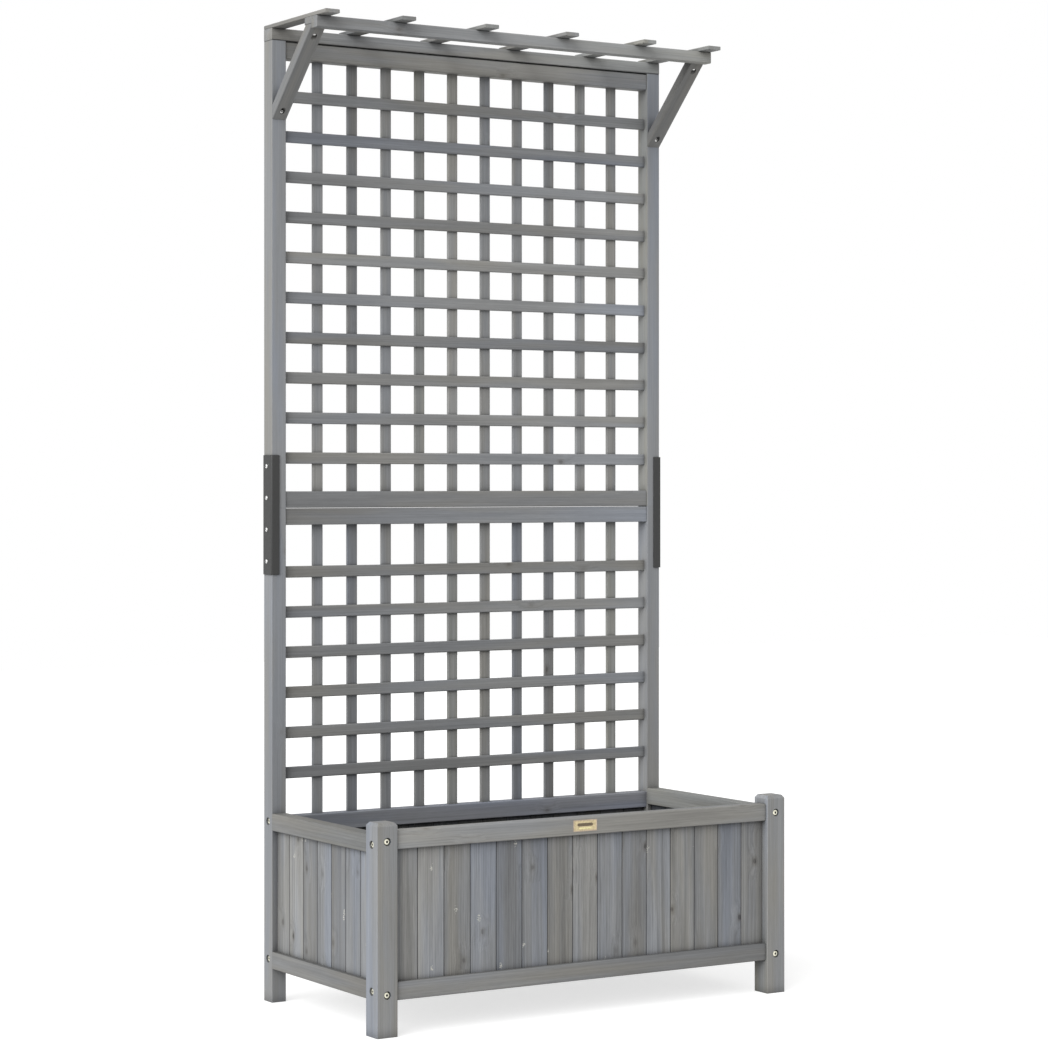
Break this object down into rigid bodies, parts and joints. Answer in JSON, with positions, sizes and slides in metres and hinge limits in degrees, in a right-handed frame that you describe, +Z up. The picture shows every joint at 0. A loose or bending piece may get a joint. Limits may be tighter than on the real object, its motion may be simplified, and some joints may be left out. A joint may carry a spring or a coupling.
{
  "type": "planter with trellis",
  "caption": "Rectangular grey-stained wood planter box on square legs, with a tall two-part lattice behind it and a small slatted roof on sloping braces.",
  "frame": {"origin": "on the ground, under the middle of the overall width and depth", "axes": "+X to the right when facing the front of the planter box, +Y from the front of the box to the trellis, +Z up"},
  "size_m": [0.86, 0.432, 1.77],
  "materials": {
    "frame_wood": "weathered grey stain, satin",
    "board_wood": "weathered grey stain, satin",
    "lattice_wood": "weathered grey stain, satin",
    "floor_wood": "weathered grey stain, matte",
    "black_steel": "black powder coat, satin",
    "yellow_zinc": "yellow zinc plate",
    "bright_zinc": "bright zinc plate"
  },
  "bodies": {
    "root": {"back_boards": "board_wood", "back_bottom_rail": "frame_wood", "back_floor_bearer": "floor_wood", "back_top_rail": "frame_wood", "brace_left": "frame_wood", "brace_right": "frame_wood", "brace_screws": "bright_zinc", "bracket_screws": "bright_zinc", "corner_bolts": "yellow_zinc", "floor_slats": "floor_wood", "front_beam": "frame_wood", "front_boards": "board_wood", "front_bottom_rail": "frame_wood", "front_floor_bearer": "floor_wood", "front_leg_left": "frame_wood", "front_leg_right": "frame_wood", "front_top_rail": "frame_wood", "lower_cross_slat_01": "lattice_wood", "lower_cross_slat_02": "lattice_wood", "lower_cross_slat_03": "lattice_wood", "lower_cross_slat_04": "lattice_wood", "lower_cross_slat_05": "lattice_wood", "lower_cross_slat_06": "lattice_wood", "lower_trellis_top_rail": "frame_wood", "lower_upright_slats": "lattice_wood", "post_top_screws": "bright_zinc", "rafter_1": "frame_wood", "rafter_2": "frame_wood", "rafter_3": "frame_wood", "rafter_4": "frame_wood", "rafter_5": "frame_wood", "rafter_6": "frame_wood", "rafter_screws": "bright_zinc", "rear_beam": "frame_wood", "rear_post_lower_left": "frame_wood", "rear_post_lower_right": "frame_wood", "rear_post_upper_left": "frame_wood", "rear_post_upper_right": "frame_wood", "roof_ledger": "frame_wood", "side_boards_left": "board_wood", "side_boards_right": "board_wood", "side_bottom_rail_left": "frame_wood", "side_bottom_rail_right": "frame_wood", "side_top_rail_left": "frame_wood", "side_top_rail_right": "frame_wood", "splice_bracket_left": "black_steel", "splice_bracket_right": "black_steel", "upper_cross_slat_01": "lattice_wood", "upper_cross_slat_02": "lattice_wood", "upper_cross_slat_03": "lattice_wood", "upper_cross_slat_04": "lattice_wood", "upper_cross_slat_05": "lattice_wood", "upper_cross_slat_06": "lattice_wood", "upper_cross_slat_07": "lattice_wood", "upper_cross_slat_08": "lattice_wood", "upper_cross_slat_09": "lattice_wood", "upper_cross_slat_10": "lattice_wood", "upper_trellis_bottom_rail": "frame_wood", "upper_trellis_top_rail": "frame_wood", "upper_upright_slats": "lattice_wood"}
  },
  "joints": []
}
